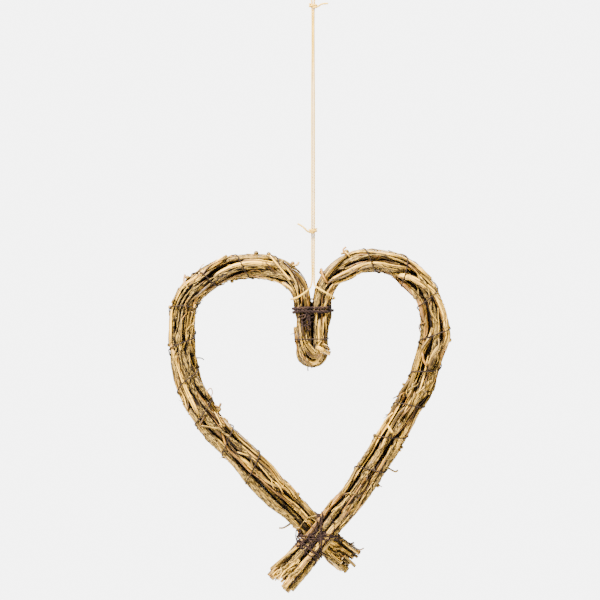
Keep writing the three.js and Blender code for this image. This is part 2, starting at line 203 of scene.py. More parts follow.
# Broken side twigs, thin and curling, and the stubs of cut ones: thickness, then pixels. A tendril is drawn
# thicker than the room it is laid in.
TENDRIL_GROWTH = 1.4
TENDRILS = [
    (1.1, [(205, 292), (220, 283), (235, 276), (248, 272)]),
    (0.9, [(248, 272), (256, 270), (262, 274), (256, 277), (250, 274)]),
    (0.9, [(427, 322), (419, 325), (421, 335)]),
    (1.0, [(397.5, 394.7), (395, 397), (392.6, 398.2)]),
    (0.9, [(390.5, 410.9), (388, 414), (385.6, 415)]),
    (0.8, [(370.2, 434.7), (373, 434), (374.4, 437.5)]),
    (0.9, [(377.9, 483.2), (380, 485.6), (382, 486.7)]),
    (1.0, [(199, 357), (202, 358), (204, 360)]),
    (0.9, [(208, 398), (207.6, 391), (211, 388), (212.6, 393), (209.6, 398)]),
    (1.0, [(305.3, 363.7), (307.4, 367), (308, 371)]),
    (1.0, [(406.7, 392), (401, 394), (399, 401)]),
    (1.2, [(358, 549), (361, 549.4), (364, 548)]),
    (1.2, [(340.6, 496), (345.9, 493.2), (351.3, 492.4), (356.6, 493.6)]),
]
STUBS = [
    (2.4, [(205.9, 414.7), (199.8, 424.9)]), (2.2, [(199.8, 424.9), (216, 428)]),
    (2.0, [(270, 255), (290, 280)]), (1.8, [(265, 262), (275, 272)]),
    (2.2, [(189, 288), (184.5, 281), (185, 274.5)]), (3.2, [(324.5, 351.8), (330, 353.3)]),
    (3.0, [(328, 284), (323, 276), (321, 269)]), (2.2, [(292, 266), (297, 265), (299, 262)]),
    (2.4, [(350, 258), (345, 253), (341, 254)]), (1.8, [(346, 256), (343, 250), (346, 247)]),
    (2.0, [(289, 525), (283, 528), (279, 528)]), (2.0, [(391, 470), (396, 472), (398, 470)]),
    (2.6, [(421.3, 352), (423.3, 360.4), (426.4, 365.5)]), (2.2, [(326, 508), (331.4, 499)]),
    (2.6, [(387.7, 425.6), (392, 432)]), (2.6, [(322, 280), (322.6, 272)]), (2.4, [(292, 528), (300, 528)]),
    (2.2, [(237.5, 451.4), (248.7, 455.5)]), (2.4, [(398, 449), (400.6, 450.6)]),
    (5.0, [(319, 347.5), (325, 351.5), (330.5, 353.5)]), (2.6, [(306, 357), (309, 363), (312, 367)]),
    (2.2, [(302, 353), (306, 361), (308.5, 366)]), (3.4, [(322, 344), (327, 347), (329.5, 350.5)]),
    (2.6, [(176, 296), (172.4, 303)]), (2.4, [(213, 404), (219, 407), (221, 403)]),
]
# Swellings where a side twig broke off: width, pixel, and how far in front of the middle plane. Each goes to
# the nearest stem and stands off it by a share of its width.
KNOB_SEAT = 0.28
KNOBS = [
    (5.67, (221, 408), 4), (4.86, (256, 246), 3), (4.59, (270, 247), 3), (4.05, (233, 284), 3),
    (5.94, (344, 246), 4), (5.13, (449, 340), 5), (3.2, (391.9, 462.8), 10), (3.2, (402.5, 383.5), 10),
    (3.4, (325, 337), 10), (4.0, (429, 392.6), 10), (4.32, (296, 259), 3), (4.32, (184, 272), 3),
    (4.86, (318, 270), 6), (4.05, (164, 306), 4), (3.78, (166, 345), 4), (4.05, (300, 494), 5),
    (3.78, (380, 487), 5), (3.78, (371, 433), 4), (3.51, (405, 449), 5),
]

# What lies between the stems: how many, lengths, thicknesses, spacing of the points, how far round and over
# what length each wanders, shares of the three kinds, and how deep it is sunk in front and at the edges.
SLIVERS = {
    "thin stem": (56, (50, 170), (1.3, 2.5), 1.3, (0.9, 70), [0.34, 0.26, 0.40], (0.6, 1.5)),
    "sliver": (235, (6, 26), (0.6, 1.5), 0.9, (0.35, 9), [0.34, 0.26, 0.40], (0.35, 1.5)),
    "flake": (349, (2.5, 8), (0.6, 1.5), 0.5, (0.35, 9), [0.12, 0.22, 0.66], (0.35, 0.3)),
}
EDGE_FLAKE_SHARE = 0.75  # of its thickness
TAIL_SPLITS = 84
TAIL_RADIUS = 12

# How the gaps between the stems are found: how far each look reaches, how far off the surface it starts, and
# the shares cut off at which the painted shade of a point begins and is darkest.
GAP_REACH = 9.0
GAP_START = 0.7
GAP_SHARES = (0.06, 0.33)

# The studio, in metres: the picture's middle and its width at the wreath, the camera's sensor in millimetres,
# and each light's place, size and share of the key light's power.
PICTURE_MIDDLE = (-0.013, -0.312)
PICTURE_WIDTH = 0.6
SENSOR = 36
LIGHTS = [((-0.95, -1.15, 1.65), 0.6, 1.0), ((1.6, -1.8, -0.2), 1.6, 0.05), ((0.6, 2.0, 0.9), 1.4, 0.3)]
LIGHTS_AIM = (0.0, 0.0, -0.42)


# Numbers that vary smoothly over a surface.

def cell_values(i, j, k, seed):
    h = (i * 374761393 + j * 668265263 + k * 1440662683 + seed * 1274126177) & 0xFFFFFFFF
    h = ((h ^ (h >> 13)) * 1274126177) & 0xFFFFFFFF
    return ((h ^ (h >> 16)) & 0xFFFF) / 65535.0


def drift(points, seed):
    """Smooth noise from -1 to 1 at each point."""
    points = np.asarray(points, float)
    cell = np.floor(points).astype(np.int64)
    f = points - cell
    f = f * f * (3 - 2 * f)
    total = np.zeros(points.shape[:-1])
    for a in (0, 1):
        for b in (0, 1):
            for c in (0, 1):
                x = f[..., 0] if a else 1 - f[..., 0]
                y = f[..., 1] if b else 1 - f[..., 1]
                z = f[..., 2] if c else 1 - f[..., 2]
                total += x * y * z * cell_values(cell[..., 0] + a, cell[..., 1] + b, cell[..., 2] + c, seed)
    return total * 2 - 1


def drift_along(s, seed, wavelength):
    s = np.asarray(s, float) / wavelength
    return drift(np.stack([s, s * 0 + 0.37, s * 0 + 0.61], axis=-1), seed)


def step_up(value, low, high):
    t = np.clip((np.asarray(value, float) - low) / (high - low), 0, 1)
    return t * t * (3 - 2 * t)


# Routes: rows of points in millimetres.

def unit(vectors):
    return vectors / np.maximum(np.linalg.norm(vectors, axis=-1, keepdims=True), 1e-9)


def lengths_of(route):
    return np.r_[0, np.cumsum(np.linalg.norm(np.diff(route, axis=0), axis=1))]


def lengths_across(vectors):
    """How long each vector looks from the front."""
    return np.hypot(vectors[:, 0], vectors[:, 2])


def even(route, step):
    """The same route with its points a step apart."""
    s = lengths_of(route)
    at = np.linspace(0, s[-1], max(4, round(s[-1] / step)) + 1)
    return np.column_stack([np.interp(at, s, route[:, i]) for i in range(3)])


def curve_through(points, step):
    """Points a step apart on a smooth curve through the given ones."""
    points = np.asarray(points, float)
    reach = np.vstack([2 * points[0] - points[1], points, 2 * points[-1] - points[-2]])
    w = np.linspace(0, 1, 12, endpoint=False)[:, None]
    parts = []
    for a, b, c, d in zip(reach, reach[1:], reach[2:], reach[3:]):
        ab, bc, cd = (max(np.linalg.norm(q - p), 1e-6) ** 0.5 for p, q in ((a, b), (b, c), (c, d)))
        m = ((b - a) / ab - (c - a) / (ab + bc) + (c - b) / bc) * bc
        n = ((c - b) / bc - (d - b) / (bc + cd) + (d - c) / cd) * bc
        parts.append(b + m * w + (3 * (c - b) - 2 * m - n) * w**2 + (2 * (b - c) + m + n) * w**3)
    return even(np.vstack([*parts, points[-1:]]), step)


def soften(values, reach):
    """Values averaged with their neighbours within reach rows, the ends kept in place."""
    values = np.asarray(values, float)
    flat = values.reshape(len(values), -1)
    reach = min(int(reach), (len(flat) - 1) // 2)
    if reach < 1:
        return values
    weights = np.hanning(2 * reach + 3)[1:-1]
    weights /= weights.sum()
    padded = np.pad(flat, ((reach, reach), (0, 0)), mode="reflect", reflect_type="odd")
    out = [np.convolve(padded[:, i], weights, "valid") for i in range(flat.shape[1])]
    return np.column_stack(out).reshape(values.shape)


def peaks(values, reach):
    """The highest value within reach rows of each row."""
    padded = np.pad(values, reach, mode="edge")
    return np.max([padded[i:i + len(values)] for i in range(2 * reach + 1)], axis=0)


def turning_frames(route):
    """The direction along the route and two across it, which don't spin as it bends."""
    along = unit(np.gradient(route, axis=0))
    side = np.zeros_like(route)
    current = FRONT if abs(along[0] @ FRONT) < 0.9 else np.array([1.0, 0, 0])
    for i, t in enumerate(along):
        current = current - t * (current @ t)
        current = current / max(np.linalg.norm(current), 1e-9)
        side[i] = current
    return along, side, np.cross(along, side)


def from_picture(pixels):
    """Points on the wreath's middle plane from pixels of the photograph."""
    return np.array([[x - PICTURE_X, 0.0, -(y + PICTURE_Z)] for x, y in pixels], float)


def cad_middle(name, sides):
    """The middles of the rings of a rod that the CAD made with so many sides, from end to end."""
    mesh = frame["nodes"][name].data
    points = np.empty(len(mesh.vertices) * 3, np.float32)
    mesh.vertices.foreach_get("co", points)
    points, which = np.unique(np.round(points.reshape(-1, 3) / MM, 2), axis=0, return_inverse=True)
    which = which.ravel()
    near = [set() for _ in points]
    for polygon in mesh.polygons:
        corners = [which[v] for v in polygon.vertices]
        for a in corners:
            near[a].update(corners)

    def layers(start):
        found, edge = [set(start)], set(start)
        seen = set(start)
        while edge:
            edge = set().union(*(near[v] for v in edge)) - seen
            seen |= edge
            if edge:
                found.append(edge)
        return found

    far = next(iter(layers([0])[-1]))
    first = np.argsort(np.linalg.norm(points - points[far], axis=1))[:sides]
    rings = [points[sorted(layer)] for layer in layers(first.tolist())]
    odd = [len(ring) for ring in rings if len(ring) != sides]
    if odd:
        raise RuntimeError(f"{name}: its rings have {odd[:4]} points and not {sides}")
    return np.array([ring.mean(axis=0) for ring in rings])


# Rods and cords: swept surfaces gathered in piles, each of which becomes one piece.

# One value holds the dark joints of the stems and the painted shade in the twine's grooves.
SURFACE_VALUES = ("bark", "tone", "cut", "mark")
END_RINGS = ((0.93, 0.0), (0.55, 0.06), (0.03, 0.16))  # share of the radius, and how far it is sunk


class Pile:
    """The vertices, faces and surface values of the rods that make one piece."""

    def __init__(self):
        self.points, self.faces, self.facing, self.grain = [], [], [], []
        self.values = {key: [] for key in SURFACE_VALUES}
        self.count = 0

    def add(self, points, faces, facing, grain, **values):
        self.points.append(points)
        self.faces.append(faces + self.count)
        self.facing.append(facing)
        self.grain.append(grain)
        for key in SURFACE_VALUES:
            self.values[key].append(np.broadcast_to(values.get(key, 0.0), (len(points),)))
        self.count += len(points)

    def piece(self, name, material):
        points, faces = np.vstack(self.points), np.vstack(self.faces)
        mesh = bpy.data.meshes.new(name)
        mesh.vertices.add(len(points))
        mesh.vertices.foreach_set("co", (points * MM).astype(np.float32).ravel())
        mesh.loops.add(faces.size)
        mesh.loops.foreach_set("vertex_index", faces.astype(np.int32).ravel())
        mesh.polygons.add(len(faces))
        mesh.polygons.foreach_set("loop_start", np.arange(0, faces.size, 3, dtype=np.int32))
        mesh.polygons.foreach_set("use_smooth", np.ones(len(faces), bool))
        rows = {key: np.concatenate(self.values[key]) for key in SURFACE_VALUES}
        # Painted shade between the stems starts at nothing and is filled in by the gaps step.
        rows["painted_gap_shade"] = np.zeros(len(points))
        for key, row in rows.items():
            attribute = mesh.attributes.new(key, "FLOAT", "POINT")
            attribute.data.foreach_set("value", row.astype(np.float32))
        grain = mesh.attributes.new("grain", "FLOAT_VECTOR", "POINT")
        grain.data.foreach_set("vector", np.vstack(self.grain).astype(np.float32).ravel())
        mesh.update(calc_edges=True)
        mesh.materials.append(material)
        piece = bpy.data.objects.new(name, mesh)
        bpy.context.scene.collection.objects.link(piece)
        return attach(piece, BODY)


def sweep(pile, route, radius, sides=12, relief=0.0, cut_ends=True, shift=0.0, **values):
    """Adds a closed rod along a route. relief is how far each surface point stands out, and shift moves the
    grain along, so that no two rods have the same."""
    along, side, up = turning_frames(route)
    angle = np.linspace(0, 2 * np.pi, sides, endpoint=False)
    across = side[:, None] * np.cos(angle)[:, None] + up[:, None] * np.sin(angle)[:, None]
    radius = np.broadcast_to(np.asarray(radius, float), (len(route),))
    reach = np.broadcast_to(radius[:, None] + relief, (len(route), sides))
    rings = route[:, None] + across * reach[..., None]
    s = np.broadcast_to(lengths_of(route)[:, None], reach.shape)
    grain = np.stack([np.cos(angle) * radius[:, None], np.sin(angle) * radius[:, None], s + shift], axis=-1)
    rows = {key: np.broadcast_to(value, reach.shape) for key, value in values.items()}
    rows["cut"] = np.zeros(reach.shape)
    facing = across

    def ended(array, end, extra):
        return np.concatenate([extra[::-1], array]) if end == 0 else np.concatenate([array, extra])

    if cut_ends:
        for end, sign in ((0, -1), (-1, 1)):
            fresh = [route[end] + across[end] * (reach[end][:, None] * share)
                     - along[end] * (sign * sunk * radius[end]) for share, sunk in END_RINGS]
            rings = ended(rings, end, np.array(fresh))
            count = len(END_RINGS)
            outward = np.broadcast_to(along[end] * sign, (count, sides, 3))
            facing = ended(facing, end, outward)
            grain = ended(grain, end, np.repeat(grain[end][None], count, axis=0))
            for key in rows:
                extra = np.repeat(rows[key][end][None], count, axis=0)
                rows[key] = ended(rows[key], end, np.ones_like(extra) if key == "cut" else extra)
    i, j = np.meshgrid(np.arange(len(rings) - 1), np.arange(sides), indexing="ij")
    a, b = i * sides + j, i * sides + (j + 1) % sides
    faces = np.concatenate([np.stack([a, b, b + sides], -1), np.stack([a, b + sides, a + sides], -1)])
    fan = np.array([[0, k, k + 1] for k in range(1, sides - 1)])
    faces = np.vstack([faces.reshape(-1, 3), fan[:, ::-1], fan + (len(rings) - 1) * sides])
    pile.add(rings.reshape(-1, 3), faces, facing.reshape(-1, 3), grain.reshape(-1, 3),
             **{key: row.ravel() for key, row in rows.items()})


KINDS = {
    # how much bark is left, from -1 for none to 1 for all of it, how high it stands, how deep the grooves are
    "straw": (-0.56, 0.22, 0.10),
    "orange": (-0.40, 0.18, 0.12),
    "bark": (0.30, 0.46, 0.16),
}


def stem(pile, route, diameter, kind, seed, sides=12, knuckles=True, taper=0.0):
    """A rattan stem: uneven, grooved, with knuckles, and bark where it hasn't peeled off."""
    rng = np.random.default_rng(seed)
    s = lengths_of(route)
    radius = diameter / 2 * (1 + 0.05 * drift_along(s, seed, 27) + 0.035 * drift_along(s, seed + 1, 8))
    radius = radius * (1 - taper * s / s[-1])
    mark = np.zeros(len(s))
    at = rng.uniform(12, 55)
    while knuckles and at < s[-1] - 5:
        width = 0.3 * diameter + 0.5
        radius = radius * (1 + rng.uniform(0.08, 0.26) * np.exp(-((s - at) / width) ** 2))
        mark = np.maximum(mark, rng.uniform(0.5, 1) * np.exp(-((s - at - 0.4 * width) / 0.55) ** 2))
        at += rng.uniform(38, 105)
    left, height, groove = KINDS[kind]
    angle = np.linspace(0, 2 * np.pi, sides, endpoint=False)
    c, n = np.cos(angle)[None] * radius[:, None], np.sin(angle)[None] * radius[:, None]
    z = np.broadcast_to(s[:, None], c.shape)
    patch = drift(np.stack([c * 0.30, n * 0.30, z / 15], -1), seed + 2)
    patch = patch + 0.45 * drift(np.stack([c * 0.9, n * 0.9, z / 4], -1), seed + 3)
    bark = step_up(patch, -left - 0.12, -left + 0.12)
    rough = drift(np.stack([c * 0.95, n * 0.95, z * 0.42], -1), seed + 4)
    ridges = drift(np.stack([c * 1.3, n * 1.3, z * 0.035], -1), seed + 5)
    relief = groove * ridges + bark * height * (0.45 + 0.75 * rough)
    relief = relief * min(1.0, diameter / 4)
    sweep(pile, route, radius, sides, relief, shift=rng.uniform(0, 4000), bark=bark, tone=rng.uniform(-1, 1),
          mark=mark[:, None])


class Bed:
    """What has been laid so far, for finding where the next rod rests."""

    def __init__(self):
        self.base, self.top = Pile(), Pile()
        self.base_tree = self.top_tree = None

    def put(self, route, radius, base=False):
        sweep(self.base if base else self.top, even(route, 2.8), radius, 8, cut_ends=False)
        if not base:
            self.top_tree = self.tree_of(self.top)

    @staticmethod
    def tree_of(pile):
        points, faces = np.vstack(pile.points), np.vstack(pile.faces)
        return BVHTree.FromPolygons(points.tolist(), faces.tolist())

    def settle(self):
        self.base_tree = self.tree_of(self.base)

    def trees(self):
        return [tree for tree in (self.base_tree, self.top_tree) if tree]

    def nearest(self, point):
        found = [tree.find_nearest(Vector(point)) for tree in self.trees()]
        return np.array(min(found, key=lambda hit: hit[3])[0])

    def heights(self, points, outward, above):
        """How far what is there stands out from each point, or nan."""
        found = np.full(len(points), np.nan)
        starts = (points + outward * above).tolist()
        rays = (-outward).tolist()
        for i, (start, ray) in enumerate(zip(starts, rays)):
            for tree in self.trees():
                distance = tree.ray_cast(start, ray, above * 1.9)[3]
                if distance is not None:
                    height = above - distance
                    found[i] = height if math.isnan(found[i]) else max(found[i], height)
        return found

    def lay(self, route, outward, radius, bridge, sunk, above=48.0):
        """Moves a route outward until a rod on it rests on what is there and bridges the dips."""
        outward = np.broadcast_to(outward, route.shape)
        across = unit(np.cross(np.gradient(route, axis=0), outward))
        looks = [self.heights(route + across * share * radius, outward, above) for share in (-0.55, 0, 0.55)]
        blank = np.isnan(looks).all(axis=0)
        height = np.max(np.nan_to_num(looks, nan=-99), axis=0)
        if blank.all():
            return route
        rows = np.arange(len(route))
        height = np.interp(rows, rows[~blank], height[~blank])
        rest = soften(peaks(height, bridge), bridge * 2) + radius * (1 - sunk)
        return route + outward * np.maximum(rest, 0)[:, None]


def painted_gap_shade_of(pile, trees):
    """How hidden each surface point is between its neighbours, from 0 to 1, for the painted shade in the
    gaps.
    """
    points, facing = np.vstack(pile.points), np.vstack(pile.facing)
    lean = unit(np.cross(facing, np.array([0.31, 0.83, 0.46])))
    other = np.cross(facing, lean)
    starts = (points + facing * GAP_START).tolist()
    total = np.zeros(len(points))
    tilts = [facing, *(unit(facing + turn) for turn in (lean, -lean, other, -other))]
    tilts += [unit(0.55 * facing + a * lean + b * other) for a in (1, -1) for b in (1, -1)]
    for rays in tilts:
        for i, (start, ray) in enumerate(zip(starts, rays.tolist())):
            nearest = GAP_REACH
            for tree in trees:
                distance = tree.ray_cast(start, ray, nearest)[3]
                if distance is not None:
                    nearest = distance
            total[i] += 1 - nearest / GAP_REACH
    return step_up(total / len(tilts), *GAP_SHARES)


class Bundle:
    """The middle line of all the stems together, from the lower right tail to the lower left one."""

    def __init__(self, stems):
        self.line = curve_through(np.mean(stems, axis=0), 1.0)
        self.s = lengths_of(self.line)
        along = unit(soften(np.gradient(self.line, axis=0), 12))
        self.out = unit(np.column_stack([-along[:, 2], along[:, 0] * 0, along[:, 0]]))

    def at(self, s, angle):
        """Points on the line and a direction from each. Angle 0 is out from the heart, and a quarter turn is
        to the front."""
        middle = np.column_stack([np.interp(s, self.s, self.line[:, i]) for i in range(3)])
        out = unit(np.column_stack([np.interp(s, self.s, self.out[:, i]) for i in range(3)]))
        return middle, out * np.cos(angle)[:, None] + FRONT * np.sin(angle)[:, None]

    def beside_itself(self, s):
        """Whether another part of the heart lies close by, as in the cleft and at the crossing."""
        return (np.abs(np.interp(s, self.s, self.line[:, 0])) < 30).any()

    def nearest(self, points):
        apart = np.linalg.norm(points[:, None] - self.line[None, ::4], axis=2)
        return self.line[::4][apart.argmin(axis=1)]


class Work:
    """What the operators share: what has been laid, the bundle's line, and the stem pieces made so far."""

    bed = Bed()
    bundle = None
    pieces = []


def sink_ends(route, outward, depth, both=True, reach=14.0):
    """Lets a stem's start, or both its ends, dip back in among the others."""
    s = lengths_of(route)
    sink = 1 - step_up(s, 0, reach)
    if both:
        sink = np.maximum(sink, 1 - step_up(s[-1] - s, 0, reach))
    return route - np.broadcast_to(outward, route.shape) * (sink * depth)[:, None]


def rooted(route):
    """Moves a twig's start onto what carries it, and the rest of it less and less."""
    share = np.linspace(1, 0, len(route))[:, None] ** 2
    return route + (Work.bed.nearest(route[0]) - route[0]) * share


def twig_route(pixels, diameter, sunk, dip):
    """A twig's route, which starts on what carries it."""
    route = curve_through(from_picture(pixels), 0.7)
    route = Work.bed.lay(route, FRONT, diameter / 2, bridge=4, sunk=sunk)
    return rooted(sink_ends(route, FRONT, dip, both=False, reach=5.0))


def squeezed(route):
    """A long stem's route with its part in the cleft's legs drawn in to the middle."""
    aside, down = np.abs(route[:, 0]), -route[:, 2]
    inward = np.where(route[:, 0] < 0, *CLEFT_SQUEEZE) * step_up(aside, 1, 9)
    inward = inward * sum(share * step_up(down, first, last) for share, first, last in SQUEEZE_DEPTHS)
    in_legs = (aside < LEGS_HALF_WIDTH) & (route[:, 2] > LEGS_FOOT)
    moved = route.copy()
    moved[:, 0] -= np.where(in_legs, np.sign(route[:, 0]) * inward, 0.0)
    return moved


def lay_stem(piles, route, outward, diameter, kind, seed, sides, dip, **laying):
    """Lays a stem on what is there, dips its ends in, and lets what comes later rest on it."""
    route = Work.bed.lay(route, outward, diameter / 2, **laying)
    route = sink_ends(soften(route, 4), outward, dip)
    Work.bed.put(route, diameter / 2)
    stem(piles[kind], route, diameter, kind, seed, sides=sides)


def wrapped(route, middles, radius, slack, above=30.0, bridge=4):
    """A winding that is moved in or out from its middles until it lies on what it is wound on. It goes in by
    the slack at most, so it stays with the CAD's."""
    reach = np.linalg.norm(route - middles, axis=1)
    outward = (route - middles) / reach[:, None]
    found = Work.bed.heights(middles, outward, above)
    surface = np.where(np.isnan(found), 0, found) + radius * 0.8
    rest = soften(peaks(np.maximum(surface, reach - slack), bridge), bridge * 2)
    return middles + outward * rest[:, None]


def plied(pile, route, radius, plies, seed):
    """A tie's cord of strands twisted together."""
    _, side, up = turning_frames(route)
    s = lengths_of(route)
    share = 1 / (1 + 1 / math.sin(math.pi / plies))
    for k in range(plies):
        angle = 2 * np.pi * (s / TIE_PITCH + k / plies) + 0.4 * drift_along(s, seed + k, 11)
        offset = radius * (1 - share) * (1 + TIE_RAGGED * drift_along(s, seed + 20 + k, 5))
        path = route + offset[:, None] * (side * np.cos(angle)[:, None] + up * np.sin(angle)[:, None])
        thick = radius * share * 1.08 * (1 + TIE_RAGGED * drift_along(s, seed + 40 + k, 3.5))
        sweep(pile, path, thick, 8, shift=seed * 31.0 + k * 7, tone=0.3 * (k - plies / 2))


def twine_strand(pile, route, thickness, seed):
    """Twine of three plies in one skin, with painted shade in its grooves."""
    sides = 18
    s = lengths_of(route)
    angle = np.linspace(0, 2 * np.pi, sides, endpoint=False)
    lobes = np.cos(3 * (angle[None] - 2 * np.pi * s[:, None] / TWINE_PITCH))
    radius = thickness / 2 * (1 + 0.05 * drift_along(s, seed, 4) + 0.04 * drift_along(s, seed + 1, 1.7))
    relief = thickness / 2 * (0.12 * lobes - 0.06)
    # The grooves between the plies, which the finish darkens as painted shade.
    sweep(pile, route, radius, sides, relief, shift=seed * 53.0, mark=np.clip(-lobes, 0, 1))


def hairs(pile, route, radius, count, seed, length, thick):
    """Loose fibres that stand off a cord."""
    rng = np.random.default_rng(seed)
    along, side, up = turning_frames(route)
    w = np.linspace(0, 1, 6)[:, None]
    for i in rng.integers(2, len(route) - 2, count):
        angle = rng.uniform(0, 2 * np.pi)
        away = side[i] * np.cos(angle) + up[i] * np.sin(angle)
        reach = rng.uniform(*length)
        lean = along[i] * rng.choice([-1, 1]) * 0.8 * w
        bend = unit(rng.normal(size=3)) * 0.35 * w * w
        path = route[i] + away * radius * 0.8 + reach * (lean + away * 0.35 * w * w + bend)
        sweep(pile, path, thick * (1 - 0.7 * w[:, 0]), 4, cut_ends=False, tone=rng.uniform(-1, 1))


# Materials.

class Link:
    """A shader socket that can be part of a sum."""

    def __init__(self, finish, socket):
        self.finish, self.socket = finish, socket

    def maths(self, operation, first, second):
        return self.finish.node("ShaderNodeMath", {"operation": operation}, {0: first, 1: second})

    def __add__(self, other):
        return self.maths("ADD", self, other)

    def __sub__(self, other):
        return self.maths("SUBTRACT", self, other)

    def __mul__(self, other):
        return self.maths("MULTIPLY", self, other)

    __radd__ = __add__


class Finish:
    """A material in the making."""

    def __init__(self, name):
        self.material = bpy.data.materials.new(name)
        self.material.use_nodes = True
        self.tree = self.material.node_tree
        self.tree.nodes.clear()

    @staticmethod
    def socket(sockets, key):
        named = [socket for socket in sockets if socket.identifier == key]
        return named[0] if named else sockets[key]

    def node(self, kind, settings, sockets, output=0):
        node = self.tree.nodes.new(kind)
        for key, value in settings.items():
            setattr(node, key, value)
        for key, value in sockets.items():
            socket = self.socket(node.inputs, key)
            if isinstance(value, Link):
                self.tree.links.new(value.socket, socket)
            else:
                socket.default_value = value
        return Link(self, self.socket(node.outputs, output)) if len(node.outputs) else node

    def value(self, key):
        return self.node("ShaderNodeAttribute", {"attribute_name": key}, {}, "Fac")

    def grain(self):
        return self.node("ShaderNodeAttribute", {"attribute_name": "grain"}, {}, "Vector")

    def noise(self, place, stretch, detail=3.0):
        place = self.node("ShaderNodeVectorMath", {"operation": "MULTIPLY"}, {0: place, 1: stretch}, "Vector")
        return self.node("ShaderNodeTexNoise", {}, {"Vector": place, "Scale": 1.0, "Detail": detail}, "Fac")

    def band(self, value, low, high):
        """0 below low, 1 above high, and smooth between."""
        settings = {"interpolation_type": "SMOOTHSTEP"}
        return self.node("ShaderNodeMapRange", settings, {"Value": value, "From Min": low, "From Max": high})

    def mix(self, share, first, second):
        sockets = {"Factor_Float": share, "A_Color": first, "B_Color": second}
        return self.node("ShaderNodeMix", {"data_type": "RGBA"}, sockets, "Result_Color")

    def surface(self, colour, roughness, height, depth, **fixed):
        relief = {"Height": height, "Strength": 1.0, "Distance": depth}
        normal = self.node("ShaderNodeBump", {}, relief, "Normal")
        sockets = {"Base Color": colour, "Roughness": roughness, "Normal": normal, **fixed}
        shader = self.node("ShaderNodeBsdfPrincipled", {}, sockets, "BSDF")
        self.node("ShaderNodeOutputMaterial", {}, {"Surface": shader})
        return self.material


def opaque(colour):
    return (*colour[:3], 1.0)


def scaled(colour, share):
    return tuple(channel * share for channel in colour[:3]) + (1.0,)


def stem_finish(name, skin, bark_colour):
    """Smooth rattan skin with streaks, bark where it is left, dark joints, painted shade in gaps and pale cut
    ends.
    """
    f = Finish(name)
    grain = f.grain()
    bark, tone, cut, mark, painted_gap_shade = (f.value(key) for key in ("bark", "tone", "cut", "mark", "painted_gap_shade"))
    streak = f.noise(grain, (1.1, 1.1, 0.035), 4.0)
    fine = f.noise(grain, (4.0, 4.0, 0.22), 2.0)
    blotch = f.noise(grain, (0.22, 0.22, 0.045), 2.0)
    rough = f.noise(grain, (1.7, 1.7, 0.26), 3.0)
    shade = f.band(streak * 0.65 + blotch * 0.3 + fine * 0.2 - tone * 0.09, 0.49, 0.65)
    colour = f.mix(shade, opaque(skin), scaled(skin, 0.11))
    crack = f.band(f.noise(grain, (0.9, 0.9, 0.02), 2.0), 0.53, 0.565)
    colour = f.mix(crack * 0.9, colour, (0.022, 0.010, 0.002, 1.0))
    rust = f.band(blotch + tone * 0.1, 0.58, 0.74) * 0.6
    colour = f.mix(rust, colour, (0.42, 0.19, 0.04, 1.0))
    hide = f.mix(f.band(rough, 0.46, 0.62), scaled(bark_colour, 0.08), scaled(bark_colour, 1.6))
    colour = f.mix(bark, colour, hide)
    colour = f.mix(mark * 0.8, colour, (0.05, 0.024, 0.009, 1.0))
    pores = f.band(f.noise(grain, (3.2, 3.2, 3.2)), 0.5, 0.62)
    pith = f.mix(pores, (0.62, 0.42, 0.17, 1.0), (0.16, 0.085, 0.03, 1.0))
    colour = f.mix(cut, colour, pith)
    # Painted shade: the colour goes near black where other stems hide the surface.
    colour = f.mix(painted_gap_shade * 0.97, colour, (0.008, 0.0035, 0.001, 1.0))
    roughness = 0.45 + bark * 0.4 + cut * 0.3 + painted_gap_shade * 0.1
    height = streak * 0.5 + fine * 0.2 + bark * rough * 1.6
    return f.surface(colour, roughness, height, 0.0005, **{"Specular IOR Level": 0.2})


def twine_finish(name, colour):
    f = Finish(name)
    grain = f.grain()
    fibre = f.noise(grain, (7.0, 7.0, 0.9), 3.0)
    patch = f.noise(grain, (0.4, 0.4, 0.08), 2.0)
    shade = f.mix(f.band(fibre * 0.6 + patch * 0.4, 0.34, 0.66), scaled(colour, 0.66), scaled(colour, 1.12))
    # Painted shade in the grooves between the plies.
    shade = f.mix(f.value("mark") * 0.5, shade, scaled(colour, 0.36))
    return f.surface(shade, 0.88 + fibre * 0.08, fibre, 0.00018, **{"Sheen Weight": 0.06})


def cord_finish(name, colour):
    """Rough dark cord with paler fibres."""
    f = Finish(name)
    grain = f.grain()
    fibre = f.noise(grain, (5.0, 5.0, 0.7), 4.0)
    worn = f.noise(grain, (0.8, 0.8, 0.2), 2.0)
    shade = f.mix(f.band(fibre, 0.4, 0.62), scaled(colour, 0.2), scaled(colour, 1.5))
    shade = f.mix(f.band(worn, 0.52, 0.68) * 0.5, shade, (0.10, 0.052, 0.028, 1.0))
    return f.surface(shade, 0.86 + fibre * 0.1, fibre, 0.0003, **{"Specular IOR Level": 0.08})


def wire_finish(name, colour):
    f = Finish(name)
    grain = f.grain()
    worn = f.noise(grain, (2.4, 2.4, 0.35), 3.0)
    shade = f.mix(f.band(worn, 0.48, 0.7), opaque(colour), (0.035, 0.019, 0.01, 1.0))
    return f.surface(shade, 0.62 + worn * 0.25, worn, 0.00008, **{"Specular IOR Level": 0.15})


def plain_finish(name, colour):
    """The floor's even colour, a little mottled."""
    f = Finish(name)
    place = f.node("ShaderNodeTexCoord", {}, {}, "Object")
    mottle = f.noise(place, (9.0, 9.0, 9.0), 2.0)
    shade = f.mix(f.band(mottle, 0.3, 0.7), scaled(colour, 0.97), opaque(colour))
    return f.surface(shade, 0.7 + mottle * 0.1, mottle, 0.0002)


# What a user would change.

def a_length(name, description, default):
    return bpy.props.FloatProperty(name=name, description=description, default=default,
                                   min=0.0002, unit="LENGTH")


def a_colour(name, description, default):
    return bpy.props.FloatVectorProperty(name=name, description=description, default=default, size=3,
                                         min=0.0, max=1.0, subtype="COLOR")


